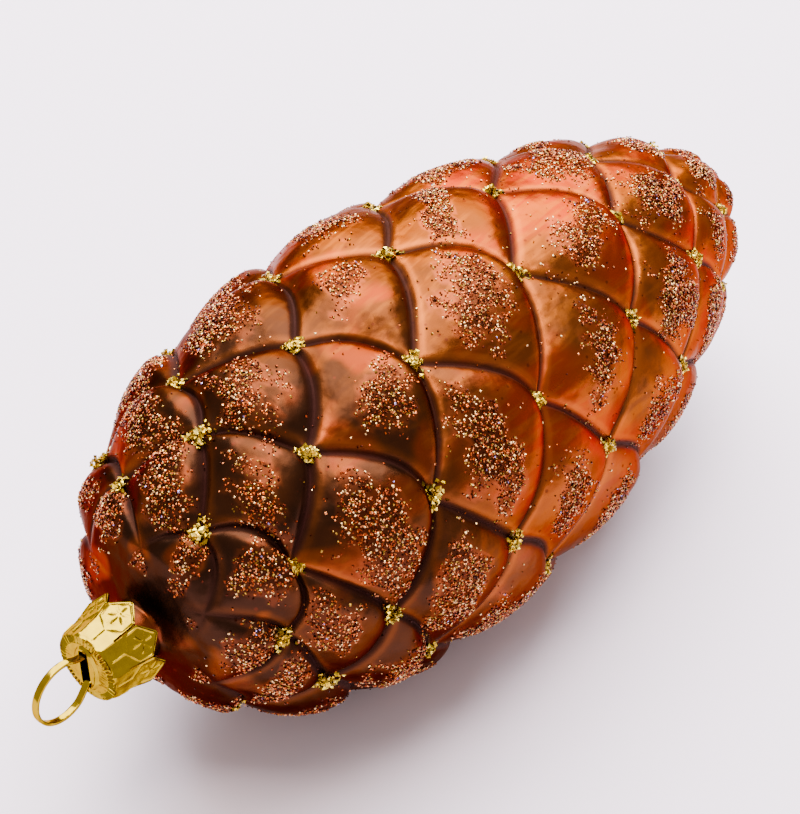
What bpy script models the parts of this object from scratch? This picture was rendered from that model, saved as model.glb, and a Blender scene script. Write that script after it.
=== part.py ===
"""A blown-glass Christmas ornament in the shape of a pine cone, lying on its side on a level surface.

World axes: +X runs along the cone's axis from the metal cap to the tip and +Z is up. The origin lies on
the resting surface, below the middle of the ornament's length. All lengths are in metres.
"""

import math

import bpy
import numpy as np

# The glass body. Its envelope over the tops of the scales is turned round the cone's axis.
BODY_RADIUS = 0.035
BODY_LENGTH = 0.1568
SHOULDER_POWER = 0.413
TIP_POWER = 0.652
SHOULDER_BLEND = 0.003
NECK_RADIUS = 0.00465
NECK_LENGTH = 0.0087
NECK_WALL = 0.0011
WALL = 0.001
SHOULDER_WALL = 0.0021
TIP_WALL = 0.004
AXIS_HEIGHT = 0.0336

# The scales. They lie in staggered rows, and a row is half a scale's length.
SCALES_PER_RING = 6
TIP_ROW = 14
FIRST_ROW_DISTANCE = 0.00826
ROW_CROWDING = 0.006
FIRST_SCALE_ANGLE = math.radians(27.5)
GROOVE_DEPTH = 0.0024
EDGE_BULGE = 0.2
SCALE_RISE = 0.6
SCALE_LIP = 0.3
RISE_POWER = 2.2
LIP_POWER = 2.5
DAB_HEIGHT = 0.0011

# Slow waves of the hand-made mould: along the surface in metres, and round the axis in radians.
FIRST_ROWS_SHIFT = 0.00205
FIRST_ROWS_WAVE = 0.0013
ROWS_WAVE = 0.0011
TWIST_WAVE = 0.076
COLUMNS_WAVE = 0.029
SQUEEZE_WAVE = 0.074

# The mesh steps in each row, outside and inside the glass.
OUTER_STEPS = 6
INNER_STEPS = 3
FIRST_MESH_ROW = -2
LAST_INNER_ROW = 13

# The stamped cap. Depths run from its end face towards the cone.
CAP_LENGTH = 0.00952
CAP_SHEET = 0.00035
PETALS = 8
PETAL_STEPS = 6
PETAL_ANGLE = math.radians(10.1)
CAP_RIM_RADIUS = 0.0055
CAP_RIM_FALL = 0.00012
CAP_RING_RADIUS = 0.0044
BOSS_HEIGHT = 0.00035
BOSS_TOP_HALF_SIZES = (0.00375, 0.00195)
BOSS_FOOT_HALF_SIZES = (0.0041, 0.0024)
SLOT_HALF_SIZES = (0.0033, 0.0009)
SLOT_SQUARENESS = 8
SLIT_DEPTH = 0.0026
SLIT_GAP = 0.0003
PETAL_SHOULDER_DEPTH = 0.0064
PETAL_TIP_DEPTH = 0.0087
PETAL_TIP_CUT = 0.93
SKIRT_DEPTHS = (0.0004, 0.0034, PETAL_SHOULDER_DEPTH, PETAL_TIP_DEPTH)
SKIRT_CORNER_RADII = (0.00575, 0.00615, 0.00703, 0.00745)

# The hanging loop, bent from a flat strip. Its plane is upright and holds the cone's axis.
STRIP_WIDTH = 0.0011
STRIP_THICKNESS = 0.00055
LOOP_RADIUS = 0.00474
LOOP_CENTRE_OUT = 0.0048
LOOP_DROP = 0.0008
LOOP_OPEN_ANGLE = math.radians(60)
SHANK_OFFSET = 0.0026
SHANK_PULL = 0.003
LEG_OFFSET = 0.00295
LEG_DEPTH = 0.0085

# Where the shoulder and the cap's end face lie, with the whole length centred on the origin.
LOOP_REACH = CAP_LENGTH + LOOP_CENTRE_OUT + LOOP_RADIUS + STRIP_THICKNESS / 2
SHOULDER_X = (LOOP_REACH - BODY_LENGTH) / 2
CAP_X = SHOULDER_X - CAP_LENGTH


def smoothstep(value):
    """0 below 0, 1 above 1, and a smooth rise between."""
    value = np.clip(value, 0, 1)
    return value * value * (3 - 2 * value)


def around_axis(x, radius, angle):
    """World points at a distance from the cone's axis. Angle 0 is up, and a quarter turn faces -Y."""
    x, radius, angle = np.broadcast_arrays(x, radius, angle)
    return np.stack([x, -radius * np.sin(angle), AXIS_HEIGHT + radius * np.cos(angle)], -1)


def body_profile():
    """The envelope from the neck's end to the tip, as distance along it, axial place and radius.

    The radius goes as t^a (1 - t)^b with t the fraction of the length, so the shoulder is blunt and the
    tip is round. Near t = 0 it is blended into the straight neck.
    """
    t = (1 - np.cos(np.linspace(0, math.pi, 1500))) / 2
    peak = SHOULDER_POWER / (SHOULDER_POWER + TIP_POWER)
    highest = peak**SHOULDER_POWER * (1 - peak) ** TIP_POWER
    turned = BODY_RADIUS * t**SHOULDER_POWER * (1 - t) ** TIP_POWER / highest
    place = t * BODY_LENGTH
    radius = NECK_RADIUS + (turned - NECK_RADIUS) * smoothstep(place / SHOULDER_BLEND)
    place = np.concatenate([[-NECK_LENGTH], place])
    radius = np.concatenate([[NECK_RADIUS], radius])
    distance = np.concatenate([[0], np.cumsum(np.hypot(np.diff(place), np.diff(radius)))])
    return distance, place, radius


def fade(row):
    """How much of the scales' relief shows: none on the neck, all of it from the first row on."""
    return smoothstep((row + 1.5) / 1.6)


def scale_parts(row, column):
    """Fractions of a scale, from its hidden end at 0 to its free edge at 1, along its two directions.

    A scale is the unit square of (row + column) / 2 and (row - column) / 2.
    """
    across = np.stack([(row + column) / 2, (row - column) / 2])
    return across - np.floor(across + 1e-9)


def scale_height(part):
    """Height of the relief from 0 in a groove to 1 on a scale.

    Along each direction it rises slowly from the hidden end and rolls over steeply at the free edge, and
    the two are multiplied.
    """
    rise = 1 - (1 - np.clip(part / SCALE_RISE, 0, 1)) ** RISE_POWER
    roll = 1 - np.clip((part - 1 + SCALE_LIP) / SCALE_LIP, 0, 1) ** LIP_POWER
    return (rise * roll).prod(0)


def edge_bulge(part):
    """How far the scales' edges bulge towards the cone's tip: a parabola along each edge.

    Each parabola, 4 f (1 - f), is halved towards the scale's middle, so the inside moves smoothly.
    """
    arch = part * (1 - part)
    return 4 * (arch[1] * (1 - 2 * arch[0]) + arch[0] * (1 - 2 * arch[1]))


def body_points(row, column, inset, dab):
    """Points of the glass at lattice places, with an inset for the inner face and a height for the dabs.

    Whole rows and columns of equal parity are the scales' tips. The edges between them bulge, and slow
    waves move the lattice as a hand-blown mould does.
    """
    distance, place, radius = body_profile()
    along = np.gradient(place, distance)
    outward = np.gradient(radius, distance)
    first = np.interp(FIRST_ROW_DISTANCE, place, distance)
    span = distance[-1] - first

    shown = fade(row)
    ends = shown * smoothstep((TIP_ROW - row) / 1.5)
    part = scale_parts(row, column)
    bent = row + EDGE_BULGE * edge_bulge(part) * ends
    turn = 2 * math.pi * column / (2 * SCALES_PER_RING)
    arc = span * bent / TIP_ROW - ROW_CROWDING * np.sin(2 * math.pi * bent / TIP_ROW)
    arc = arc - FIRST_ROWS_SHIFT * np.exp(-(((row - 1) / 2) ** 2)) * ends
    arc = arc + FIRST_ROWS_WAVE * np.cos(3 * turn - 1.6 * row - 2.5) * np.exp(-((row / 3) ** 2)) * ends
    arc = arc + ROWS_WAVE * np.sin(2 * turn + 2.8 * row) * ends
    twist = TWIST_WAVE * np.cos(math.pi * (row - 3) / 3) * np.exp(-row / 9) * shown
    sway = COLUMNS_WAVE * np.sin(3 * turn + 0.13 * row - 1.2) - SQUEEZE_WAVE * np.sin(turn)
    angle = FIRST_SCALE_ANGLE + turn + twist + sway * ends

    arc = first + np.clip(arc, -first, span)
    x, r = np.interp(arc, distance, place), np.interp(arc, distance, radius)
    nx, nr = -np.interp(arc, distance, outward), np.interp(arc, distance, along)
    size = np.hypot(nx, nr)
    depth = GROOVE_DEPTH * np.sqrt(r / BODY_RADIUS) * shown
    sunk = (depth * (1 - scale_height(part)) - dab + inset) / size
    return around_axis(SHOULDER_X + x - nx * sunk, np.maximum(r - nr * sunk, 0), angle)


def staggered_rings(steps, last_row):
    """Rows and columns of the rings' points: each ring is half a point step on from the last."""
    index = np.arange(FIRST_MESH_ROW * steps, last_row * steps)[:, None]
    points = SCALES_PER_RING * steps
    column = (2 * np.arange(points)[None, :] + index % 2) / steps
    row = np.broadcast_to(index / steps, column.shape)
    return row, column


def staggered_faces(start, rings, points, pole):
    """Triangles between rings of points numbered from start, closed by a fan at the pole."""
    j = np.arange(points)
    after = (j + 1) % points
    faces = []
    for ring in range(rings - 1):
        this, above = start + ring * points, start + (ring + 1) * points
        if ring % 2 == 0:
            faces.append(np.stack([this + j, this + after, above + j], 1))
            faces.append(np.stack([above + j, this + after, above + after], 1))
        else:
            faces.append(np.stack([this + j, above + after, above + j], 1))
            faces.append(np.stack([this + j, this + after, above + after], 1))
    last = start + (rings - 1) * points
    faces.append(np.stack([last + j, last + after, np.full(points, pole)], 1))
    return np.concatenate(faces)


def glass_body():
    """The blown shell: outer face, neck, flat mouth and inner face, with flats where it rests.

    The glass is thickest at the shoulder, next to the pipe that it was blown from.
    """
    row, column = staggered_rings(OUTER_STEPS, TIP_ROW)
    tips = ((row + column) % 2 == 0) & (row % 1 == 0) & (row >= 0)
    outer = body_points(row, column, 0, np.where(tips, DAB_HEIGHT, 0))
    outer[..., 2] = np.maximum(outer[..., 2], 0)
    outer_rings, outer_count = row.shape
    outer_tip = around_axis(SHOULDER_X + BODY_LENGTH, 0, 0)

    row, column = staggered_rings(INNER_STEPS, LAST_INNER_ROW)
    wall = WALL + (SHOULDER_WALL - WALL) * np.exp(-(((row - 1) / 1.5) ** 2))
    inner = body_points(row, column, np.where(row < -1, NECK_WALL, wall), 0)
    inner[..., 2] = np.maximum(inner[..., 2], WALL)
    inner_rings, inner_count = row.shape
    inner_tip = around_axis(SHOULDER_X + BODY_LENGTH - TIP_WALL, 0, 0)

    mouth_x = SHOULDER_X - NECK_LENGTH
    turns = [FIRST_SCALE_ANGLE + 2 * math.pi * np.arange(n) / n for n in (outer_count, inner_count)]
    mouth_outer = around_axis(mouth_x, NECK_RADIUS, turns[0])
    mouth_inner = around_axis(mouth_x, NECK_RADIUS - NECK_WALL, turns[1])

    parts = [outer.reshape(-1, 3), [outer_tip], inner.reshape(-1, 3), [inner_tip], mouth_outer, mouth_inner]
    starts = np.cumsum([0] + [len(part) for part in parts])
    outside = staggered_faces(starts[0], outer_rings, outer_count, starts[1])
    inside = staggered_faces(starts[2], inner_rings, inner_count, starts[3])[:, ::-1]

    j = np.arange(outer_count)
    after = (j + 1) % outer_count
    lip, body = starts[4], starts[0]
    neck_out = [[lip + j, lip + after, body + after], [lip + j, body + after, body + j]]
    k = np.arange(inner_count)
    after = (k + 1) % inner_count
    lip_in, body_in = starts[5], starts[2]
    neck_in = [[lip_in + k, body_in + after, lip_in + after], [lip_in + k, body_in + k, body_in + after]]
    half, whole = lip + 2 * k + 1, lip + (2 * k + 2) % outer_count
    mouth = [[lip + 2 * k, lip_in + k, half], [half, lip_in + k, lip_in + after], [half, lip_in + after, whole]]
    joins = [np.stack(corners, 1) for corners in neck_out + neck_in + mouth]
    return np.concatenate(parts), np.concatenate([outside, inside] + joins)


def petal_columns():
    """Angles of the cap's columns from each petal's middle, evenly spaced along the flat facet."""
    even = np.linspace(-1, 1, PETAL_STEPS + 1)
    return even, np.arctan(even * math.tan(math.pi / PETALS))


def end_face_ring(half_sizes, squareness, depth, angle):
    """A ring of the cap's end face: a superellipse along the slot, which is upright."""
    half_length, half_width = half_sizes
    bend = 2 / squareness
    up = half_length * np.sign(np.cos(angle)) * np.abs(np.cos(angle)) ** bend
    side = half_width * np.sign(np.sin(angle)) * np.abs(np.sin(angle)) ** bend
    return np.stack([CAP_X + depth + 0 * angle, -side, AXIS_HEIGHT + up], -1)


def cap():
    """The stamped sheet's outer face, as rings of columns: the slot, the oval boss, the flat ring, the
    rim, then eight flat facets that part into pointed petals. Solidify gives it its thickness."""
    even, offset = petal_columns()
    angle = PETAL_ANGLE + 2 * math.pi * np.arange(PETALS)[:, None] / PETALS + offset
    rings = [
        end_face_ring(SLOT_HALF_SIZES, SLOT_SQUARENESS, -BOSS_HEIGHT, angle),
        end_face_ring(BOSS_TOP_HALF_SIZES, 2, -BOSS_HEIGHT, angle),
        end_face_ring(BOSS_FOOT_HALF_SIZES, 2, 0, angle),
        end_face_ring((CAP_RING_RADIUS, CAP_RING_RADIUS), 2, 0, angle),
        end_face_ring((CAP_RIM_RADIUS, CAP_RIM_RADIUS), 2, CAP_RIM_FALL, angle),
    ]
    peak = (1 - np.abs(even)) * (PETAL_TIP_DEPTH - PETAL_SHOULDER_DEPTH)
    end = PETAL_SHOULDER_DEPTH + np.minimum(peak, PETAL_TIP_CUT * peak.max())
    skirt = [np.full_like(even, depth) for depth in (SKIRT_DEPTHS[0], SLIT_DEPTH / 2, SLIT_DEPTH)]
    skirt += [SLIT_DEPTH + (end - SLIT_DEPTH) * part for part in (0.25, 0.5, 0.75, 1)]
    for level, depth in enumerate(skirt):
        corner = np.interp(depth, SKIRT_DEPTHS, SKIRT_CORNER_RADII)
        flat = corner * math.cos(math.pi / PETALS)
        across = even * flat * math.tan(math.pi / PETALS)
        if level > 2:
            across = across * (1 - SLIT_GAP / (2 * across.max()))
        swing = np.arctan2(across, flat)
        rings.append(around_axis(CAP_X + depth, flat / np.cos(swing), angle - offset + swing))
    points = np.stack(rings)
    joined = len(rings) - 4

    numbers = np.arange(points[..., 0].size).reshape(points.shape[:3])
    numbers[:joined, :, -1] = np.roll(numbers[:joined, :, 0], -1, axis=1)
    low, high = numbers[:-1], numbers[1:]
    faces = np.stack([low[..., :-1], high[..., :-1], high[..., 1:], low[..., 1:]], -1).reshape(-1, 4)
    used, faces = np.unique(faces[:, ::-1], return_inverse=True)
    return points.reshape(-1, 3)[used], faces.reshape(-1, 4)


def hermite(start, end, leave, arrive, count):
    """Points of a cubic from start to end with the given end directions."""
    t = np.linspace(0, 1, count)[:, None]
    start, end, leave, arrive = (np.array(value, float) for value in (start, end, leave, arrive))
    return (
        start * (2 * t**3 - 3 * t**2 + 1)
        + end * (3 * t**2 - 2 * t**3)
        + leave * (t**3 - 2 * t**2 + t)
        + arrive * (t**3 - t**2)
    )


def hanger_path():
    """The strip's middle line as (depth, height): leg, shank, loop, shank, leg."""
    sweep = np.linspace(LOOP_OPEN_ANGLE, 2 * math.pi - LOOP_OPEN_ANGLE, 25)
    loop = np.stack([LOOP_RADIUS * np.cos(sweep) - LOOP_CENTRE_OUT, LOOP_RADIUS * np.sin(sweep) - LOOP_DROP], 1)
    sides = []
    for sign, corner in ((1, loop[0]), (-1, loop[-1])):
        heading = (SHANK_PULL * math.sin(LOOP_OPEN_ANGLE), -sign * SHANK_PULL * math.cos(LOOP_OPEN_ANGLE))
        shank = hermite(corner, (CAP_SHEET, sign * SHANK_OFFSET), heading, (SHANK_PULL, 0), 7)[1:]
        sides.append(np.concatenate([shank, [[LEG_DEPTH, sign * LEG_OFFSET]]]))
    return np.concatenate([sides[0][::-1], loop, sides[1]])


def hanger():
    """The strip's rectangular section carried along its middle line, with flat ends."""
    path = hanger_path()
    heading = np.gradient(path, axis=0)
    heading /= np.linalg.norm(heading, axis=1)[:, None]
    normal = np.stack([-heading[:, 1], heading[:, 0]], 1) * STRIP_THICKNESS / 2
    corners = [(1, 1), (-1, 1), (-1, -1), (1, -1)]
    points = [
        np.stack(
            [
                CAP_X + path[:, 0] + thick * normal[:, 0],
                np.full(len(path), wide * STRIP_WIDTH / 2),
                AXIS_HEIGHT + path[:, 1] + thick * normal[:, 1],
            ],
            1,
        )
        for thick, wide in corners
    ]
    points = np.stack(points, 1).reshape(-1, 3)
    base = 4 * np.arange(len(path) - 1)[:, None]
    side = np.arange(4)[None, :]
    after = (side + 1) % 4
    faces = np.stack([base + side, base + 4 + side, base + 4 + after, base + after], -1).reshape(-1, 4)
    last = 4 * (len(path) - 1)
    ends = [[0, 1, 2, 3], [last + 3, last + 2, last + 1, last]]
    return points, np.concatenate([faces, ends])


def paint(name, colour, roughness, metallic):
    """A Principled material with one linear colour."""
    material = bpy.data.materials.new(name)
    material.use_nodes = True
    shader = material.node_tree.nodes["Principled BSDF"]
    shader.inputs["Base Color"].default_value = (*colour, 1)
    shader.inputs["Roughness"].default_value = roughness
    shader.inputs["Metallic"].default_value = metallic
    return material


def add_piece(name, points, faces, material):
    """An object with this mesh, shaded smooth with its sharp edges kept."""
    mesh = bpy.data.meshes.new(name)
    mesh.from_pydata(points.tolist(), [], faces.tolist())
    mesh.update()
    mesh.shade_smooth()
    mesh.set_sharp_from_angle(angle=math.radians(40))
    mesh.materials.append(material)
    piece = bpy.data.objects.new(name, mesh)
    bpy.context.scene.collection.objects.link(piece)
    return piece


def main():
    for old in list(bpy.data.objects):
        bpy.data.objects.remove(old)

    copper = paint("copper_lacquer", (0.46, 0.13, 0.05), 0.3, 0.9)
    brass = paint("gilt_tinplate", (0.8, 0.58, 0.2), 0.2, 1)

    points, faces = glass_body()
    add_piece("glass_body", points, faces, copper)

    points, faces = cap()
    crown = add_piece("cap", points, faces, brass)
    sheet = crown.modifiers.new("sheet", "SOLIDIFY")
    sheet.thickness = CAP_SHEET
    sheet.offset = -1
    sheet.use_even_offset = True

    points, faces = hanger()
    add_piece("hanger", points, faces, brass)


main()
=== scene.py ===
"""Looks of the glass pine cone ornament, in metres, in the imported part's frame.

+X runs along the cone's axis from the cap to the tip, and +Z is up. The glass body is worked out again from
its own formulas on a finer mesh, with glitter grains and gold dabs glued to it. The cap gets its stamped
ornament and the hanging strip its rounded edges. The ornament lies on pale paper under soft light.
"""

import math

import bpy
import numpy as np
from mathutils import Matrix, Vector


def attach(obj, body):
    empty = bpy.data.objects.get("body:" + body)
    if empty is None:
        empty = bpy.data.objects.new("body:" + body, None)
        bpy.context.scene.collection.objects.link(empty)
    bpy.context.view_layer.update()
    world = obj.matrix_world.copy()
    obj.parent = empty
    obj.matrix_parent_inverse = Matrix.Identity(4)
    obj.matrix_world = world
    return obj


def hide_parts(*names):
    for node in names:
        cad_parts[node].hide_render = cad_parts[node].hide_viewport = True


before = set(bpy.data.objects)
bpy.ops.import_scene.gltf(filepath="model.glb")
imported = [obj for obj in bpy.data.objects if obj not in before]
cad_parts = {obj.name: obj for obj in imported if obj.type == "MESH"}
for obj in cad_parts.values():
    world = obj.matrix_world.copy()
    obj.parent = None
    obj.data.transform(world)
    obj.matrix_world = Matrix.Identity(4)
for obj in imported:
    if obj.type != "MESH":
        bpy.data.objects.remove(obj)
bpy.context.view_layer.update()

MM = 0.001

# The glass body, as in the part's source.
BODY_RADIUS = 35 * MM
BODY_LENGTH = 156.8 * MM
SHOULDER_POWER = 0.413
TIP_POWER = 0.652
SHOULDER_BLEND = 3 * MM
NECK_RADIUS = 4.65 * MM
NECK_LENGTH = 8.7 * MM
NECK_WALL = 1.1 * MM
WALL = 1 * MM
SHOULDER_WALL = 2.1 * MM
TIP_WALL = 4 * MM
AXIS_HEIGHT = 33.6 * MM
PROFILE_POINTS = 1500

# The lattice of scales, as in the part's source.
SCALES_PER_RING = 6
TIP_ROW = 14
FIRST_ROW_DISTANCE = 8.26 * MM
ROW_CROWDING = 6 * MM
FIRST_SCALE_ANGLE = math.radians(27.5)
GROOVE_DEPTH = 2.4 * MM
EDGE_BULGE = 0.2
SCALE_RISE = 0.6
SCALE_LIP = 0.3
RISE_POWER = 2.2
LIP_POWER = 2.5
FIRST_ROWS_SHIFT = 2.05 * MM
FIRST_ROWS_WAVE = 1.3 * MM
ROWS_WAVE = 1.1 * MM
TWIST_WAVE = 0.076
COLUMNS_WAVE = 0.029
SQUEEZE_WAVE = 0.074

# What the finer glass adds: a narrow channel along each groove, slight waves, and the gold dabs' mounds.
CHANNEL_DEPTH = 0.45 * MM
CHANNEL_WIDTH = 0.5 * MM
UNEVENNESS = 0.11 * MM
UNEVENNESS_LENGTHS = (4.5 * MM, 7 * MM, 5.5 * MM)
MOUND_HEIGHT = 0.6 * MM
MOUND_RADIUS = 0.9 * MM
FINE_STEPS = 30
INNER_STEPS = 5
STEP_CROWDING = 0.6
FIRST_MESH_ROW = -2
LAST_INNER_ROW = 13

# The lattice step over which the surface's directions are taken, as a fraction of a row.
FRAME_STEP = 0.02

# Where the colour changes beside a groove: a line of painted shade in the groove, a painted highlight on
# the rim past it and painted shade on the free side.
GROOVE_SHADE_WIDTH = 0.62 * MM
RIM_DISTANCE = 1.1 * MM
RIM_WIDTH = 0.5 * MM
SHADE_WIDTH = 2.4 * MM

# The cap and the hanging loop, as in the part's source.
CAP_LENGTH = 9.52 * MM
CAP_SHEET = 0.35 * MM
PETALS = 8
PETAL_ANGLE = math.radians(10.1)
CAP_RIM_RADIUS = 5.5 * MM
CAP_RING_RADIUS = 4.4 * MM
CAP_RIM_FALL = 0.12 * MM
BOSS_HEIGHT = 0.35 * MM
BOSS_TOP_HALF_SIZES = (3.75 * MM, 1.95 * MM)
BOSS_FOOT_HALF_SIZES = (4.1 * MM, 2.4 * MM)
SLOT_HALF_SIZES = (3.3 * MM, 0.9 * MM)
SLOT_SQUARENESS = 8
SLIT_DEPTH = 2.6 * MM
SLIT_GAP = 0.3 * MM
PETAL_SHOULDER_DEPTH = 6.4 * MM
PETAL_TIP_DEPTH = 8.7 * MM
PETAL_TIP_CUT = 0.93
SKIRT_DEPTHS = (0.4 * MM, 3.4 * MM, PETAL_SHOULDER_DEPTH, PETAL_TIP_DEPTH)
SKIRT_CORNER_RADII = (5.75 * MM, 6.15 * MM, 7.03 * MM, 7.45 * MM)
STRIP_WIDTH = 1.1 * MM
STRIP_THICKNESS = 0.55 * MM
LOOP_RADIUS = 4.74 * MM
LOOP_CENTRE_OUT = 4.8 * MM
LOOP_DROP = 0.8 * MM
LOOP_OPEN_ANGLE = math.radians(60)
SHANK_OFFSET = 2.6 * MM
SHANK_PULL = 3 * MM
LEG_OFFSET = 2.95 * MM
LEG_DEPTH = 8.5 * MM
LOOP_POINTS = 121
SHANK_POINTS = 25
LEG_POINTS = 12
STRIP_SIDES = 20
STRIP_EDGE_BEND = 0.4
LOOP_REACH = CAP_LENGTH + LOOP_CENTRE_OUT + LOOP_RADIUS + STRIP_THICKNESS / 2
SHOULDER_X = (LOOP_REACH - BODY_LENGTH) / 2
CAP_X = SHOULDER_X - CAP_LENGTH

# The cap's stamped ornament: flutes round the end face, and on each petal a hexagon with a star of spokes.
# The hexagon's half, the fold beside it and its stem are in mm, across the petal and down its depth.
CAP_STEPS = 36
JOINED_RINGS = 16
PARTED_RINGS = 44
BOSS_CROWN_HALF_SIZES = (3.5 * MM, 1.6 * MM)
BOSS_CROWN_SQUARENESS = 2.6
BOSS_CROWN_HEIGHT = 1.1 * BOSS_HEIGHT
FLUTES = 48
FLUTE_RINGS = 16
FLUTE_INNER_RADIUS = 4.15 * MM
FLUTE_FADE = 0.18 * MM
FLUTE_HEIGHT = 0.18 * MM
LINE_HEIGHT = 0.12 * MM
LINE_WIDTH = 0.13 * MM
HEXAGON = ((0, 3.3), (2.0, 4.5), (2.28, 6.35), (0, 8.25))
EDGE_FOLD = ((2.3, 0.8), (2.36, 3.9))
STEM = ((0, 1.0), (0, 3.3))
STAR_CENTRE_DEPTH = 6.05 * MM
STAR_INNER_RADIUS = 0.35 * MM
STAR_OUTER_RADIUS = 1.4 * MM
STAR_SPOKES = 6

# The glitter: hexagon-cut grains of about 0.4 mm, brushed on in one patch for each scale.
SEED = 1921
GRAIN_CANDIDATES = 600000
GRAIN_RADIUS = 0.21 * MM
GRAIN_FLATNESS = 0.45
GRAINS_PER_AREA = 13 / MM**2
STRAY_SHARE = 0.006
CLEAR_OF_FLOOR = 0.6 * MM
GRAIN_LIFTS = (-0.02 * MM, 0.16 * MM)
GRAIN_TILT = 0.45
PATCH_CENTRE = 0.47
PATCH_JITTER = 0.08
PATCH_SIZES = (0.38, 0.22)
PATCH_SIZE_JITTERS = (0.1, 0.07)
PATCH_WIDER_NEAR_CAP = 0.06
RAGGED_LENGTHS = (9 * MM, 6 * MM, 4 * MM, 2.6 * MM, 1.7 * MM)
DAB_GRAINS = 100
DAB_GRAIN_RADIUS = 0.45 * MM
DAB_GRAIN_TILT = 0.9
DAB_SPREAD = 0.98 * MM
DAB_SHAPE = (1.1, 0.75)
DAB_LEAN = 0.25

# The lacquer's noise patterns: the size of their patches and their detail.
LACQUER_PATTERNS = {
    "broad": (26 * MM, 2.0),
    "ember": (10 * MM, 1.5),
    "cloud": (7 * MM, 3.0),
    "ripple": (3.4 * MM, 1.5),
    "stroke": (1.6 * MM, 2.0),
    "fine": (0.7 * MM, 2.0),
}
STROKE_SHORTNESS = 0.12
SPECK_SPACING = 2.6 * MM
RIPPLE_HEIGHT = 0.3 * MM
GROOVE_ROUGHNESS = 0.4
GROOVE_METAL = 0.4
LACQUER_COLOUR = "#884214"

# The coats over it, from the first to the last: name, colour and ramps. Each ramp says how it joins the
# ramps before it, what it follows, its curve, where it starts and ends, and its level at either end.
JOIN, RAISE = "MULTIPLY", "MAXIMUM"
SMOOTH, STRAIGHT = "SMOOTHSTEP", "LINEAR"
LACQUER_COATS = (
    ("thin_brown", "#60361E", [(JOIN, "cloud", SMOOTH, 0.45, 0.65, 0, 0.85)]),
    # Painted shade: the lacquer's colour darker towards the top, which faces the window's light.
    ("painted_shade_top", "#4E260B", [(JOIN, "height", SMOOTH, 44 * MM, 65 * MM, 0, 0.75)]),
    (
        "hot_orange",
        "#8A2A08",
        [
            (JOIN, "broad", SMOOTH, 0.5, 0.61, 0, 0.9),
            (JOIN, "height", SMOOTH, 25 * MM, 50 * MM, 0.25, 1),
            (JOIN, "row", SMOOTH, 2.5, 4.5, 0, 1),
            (RAISE, "ember", SMOOTH, 0.56, 0.66, 0, 0.55),
        ],
    ),
    ("drawn_strokes", "#904A12", [(JOIN, "stroke", SMOOTH, 0.46, 0.66, 0, 0.45)]),
    ("shaded_side", "#46281E", [(JOIN, "shade", STRAIGHT, 0, 1, 0, 0.6)]),
    # Painted shade: a duller, darker colour towards the bottom.
    ("painted_shade_underside", "#644236", [(JOIN, "height", SMOOTH, 42 * MM, 16 * MM, 0, 0.85)]),
    (
        "umber",
        "#2E1B12",
        [
            (JOIN, "row", SMOOTH, 5.4, 2.4, 0, 1),
            (JOIN, "top", SMOOTH, 0.55, 1, 1, 0.88),
            (JOIN, "cloud", SMOOTH, 0.3, 0.6, 1, 0.86),
            (RAISE, "row", SMOOTH, 1.6, -0.2, 0, 1),
            (JOIN, "ember", SMOOTH, 0.56, 0.66, 1, 0.5),
        ],
    ),
    # Painted highlight: a lighter line on each scale's rim just past a groove, where the lip catches the
    # light.
    (
        "painted_highlight_rim",
        "#B25A1E",
        [(JOIN, "rim", STRAIGHT, 0, 1, 0, 0.4), (JOIN, "umber", SMOOTH, 0, 1, 1, 0.25)],
    ),
    (
        "glue_fringe",
        "#8C4022",
        [(JOIN, "glue", SMOOTH, 0.02, 0.3, 0, 0.55), (JOIN, "umber", SMOOTH, 0, 1, 1, 0.35)],
    ),
    ("glue_core", "#3A1C10", [(JOIN, "glue", SMOOTH, 0.3, 0.8, 0, 0.85)]),
    ("dark_specks", "#4A2014", [(JOIN, "speck", SMOOTH, 0.14, 0.08, 0, 0.7)]),
    # Painted shade: a dark line along each groove.
    ("painted_groove_shade", "#260E0C", [(JOIN, "groove", STRAIGHT, 0, 1, 0, 0.92)]),
)

# The mixtures of foil grains: each colour with the share of grains before it.
COPPER_MIXTURE = (
    (0.0, "#3A140A"),
    (0.24, "#7A3014"),
    (0.46, "#B4541E"),
    (0.64, "#C87848"),
    (0.76, "#96702A"),
    (0.88, "#E8BC80"),
    (0.995, "#B0A0E8"),
)
GOLD_MIXTURE = ((0.0, "#5C480C"), (0.18, "#A08018"), (0.45, "#CCA820"), (0.8, "#F0D858"))
GILT_COLOURS = ("#AE9214", "#866C0E")

# The studio. Each lamp has a name, a place, a size in metres, a power in watts and a colour.
FLOOR_HALF_SIZE = 1.5
ROOM_COLOUR = "#F6EADF"
ROOM_STRENGTH = 0.9
LAMPS = (
    ("window", (0.42, 0.32, 0.9), 1.3, 68, "#FFFFFF"),
    ("ceiling_lamp", (-0.2, -0.08, 0.85), 0.3, 5.5, "#FFF2E6"),
)

# The photographer's view.
IMAGE_WIDTH, IMAGE_HEIGHT = 800, 814
FOCAL_PIXELS = 1805
CAMERA_PLACE = (-187.9 * MM, -143.1 * MM, 215.7 * MM)
CAMERA_AIM = (0.616, 0.492, -0.614)


def smoothstep(value):
    """0 below 0, 1 above 1, and a smooth rise between."""
    value = np.clip(value, 0, 1)
    return value * value * (3 - 2 * value)


def around_axis(x, radius, angle):
    """Points at a distance from the cone's axis. Angle 0 is up, and a quarter turn faces -Y."""
    x, radius, angle = np.broadcast_arrays(x, radius, angle)
    return np.stack([x, -radius * np.sin(angle), AXIS_HEIGHT + radius * np.cos(angle)], -1)


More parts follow.
